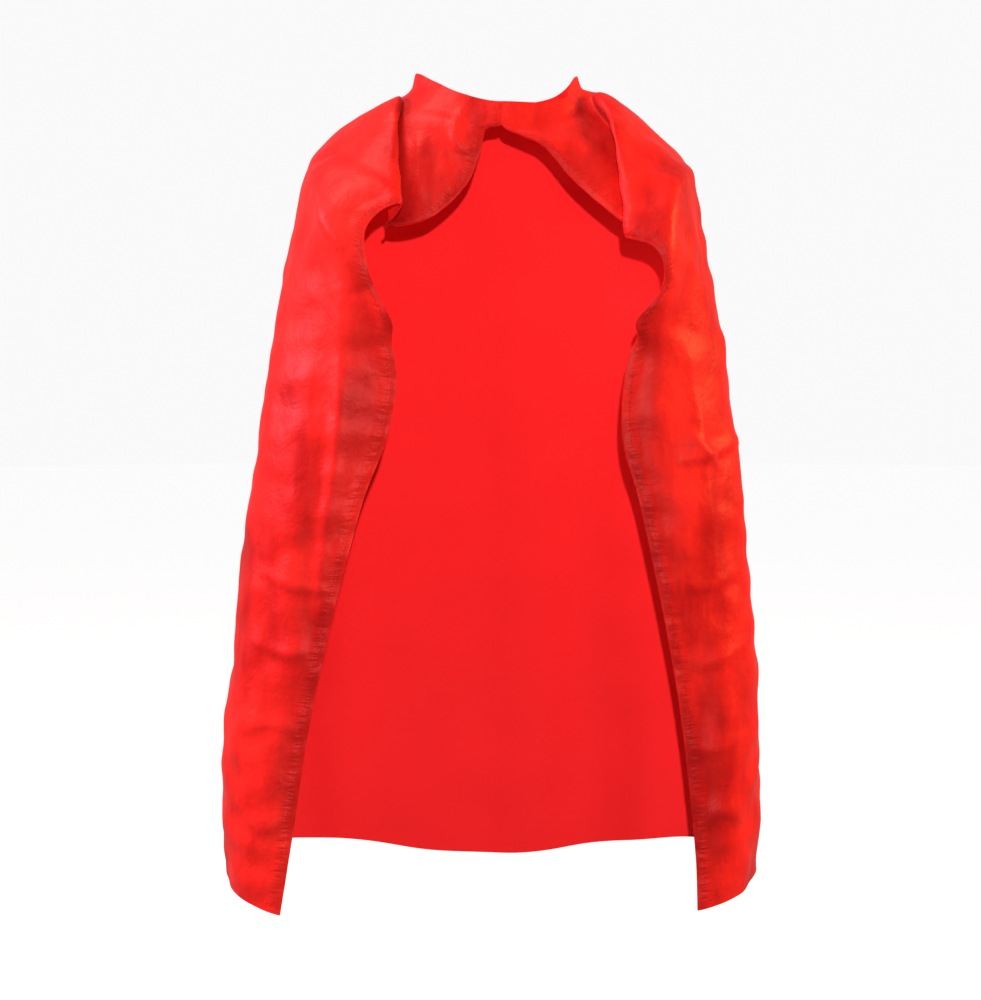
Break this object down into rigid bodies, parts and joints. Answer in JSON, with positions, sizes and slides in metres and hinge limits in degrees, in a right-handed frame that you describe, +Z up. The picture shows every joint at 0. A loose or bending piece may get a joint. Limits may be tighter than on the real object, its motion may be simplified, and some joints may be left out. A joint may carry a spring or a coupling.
{
  "type": "costume cape",
  "caption": "Child's superhero costume cape in red satin with a plain lining, fronts falling from a lapped throat closure over the shoulders to pointed tips.",
  "frame": {"origin": "middle of the neck opening, level with the neck edge at the throat", "axes": "+X to the wearer's left, +Y to the wearer's back, +Z up"},
  "size_m": [0.4763, 0.2549, 0.7088],
  "materials": {
    "satin": "satin",
    "lining": "matte",
    "facing": "satin",
    "thread": "matte",
    "hook_and_loop": "matte",
    "label": "satin"
  },
  "bodies": {
    "yoke": {"back_shell": "satin", "back_lining": "lining", "right_shoulder_shell": "satin", "right_shoulder_lining": "lining", "left_shoulder_shell": "satin", "left_shoulder_lining": "lining", "right_lapel_stitch": "thread", "left_lapel_stitch": "thread", "back_hem_stitch": "thread", "right_neck_facing": "facing", "left_neck_facing": "facing", "back_neck_facing": "facing", "care_label": "label", "closure_tab": "satin", "loop_patch": "hook_and_loop"},
    "right_front": {"right_front_shell": "satin", "right_front_lining": "lining", "right_edge_stitch": "thread", "right_hem_stitch": "thread"},
    "left_front": {"left_front_shell": "satin", "left_front_lining": "lining", "left_edge_stitch": "thread", "left_hem_stitch": "thread"},
    "closure_flap": {"flap_shell": "satin", "flap_lining": "lining", "hook_patch": "hook_and_loop"}
  },
  "joints": [
    {"name": "right_front_swing", "type": "hinge", "parent": "yoke", "child": "right_front", "pos_m": [-0.17629, 0.015, -0.14486], "axis": [-0.1062, 0, -0.9943], "range_deg": [-10, 75]},
    {"name": "left_front_swing", "type": "hinge", "parent": "yoke", "child": "left_front", "pos_m": [0.18529, 0.015, -0.14489], "axis": [-0.087, 0, 0.9962], "range_deg": [-10, 75]},
    {"name": "flap_peel", "type": "hinge", "parent": "yoke", "child": "closure_flap", "pos_m": [0.03835, -0.05925, -0.0002], "axis": [0, 0.4587, 0.8886], "range_deg": [0, 110]}
  ]
}
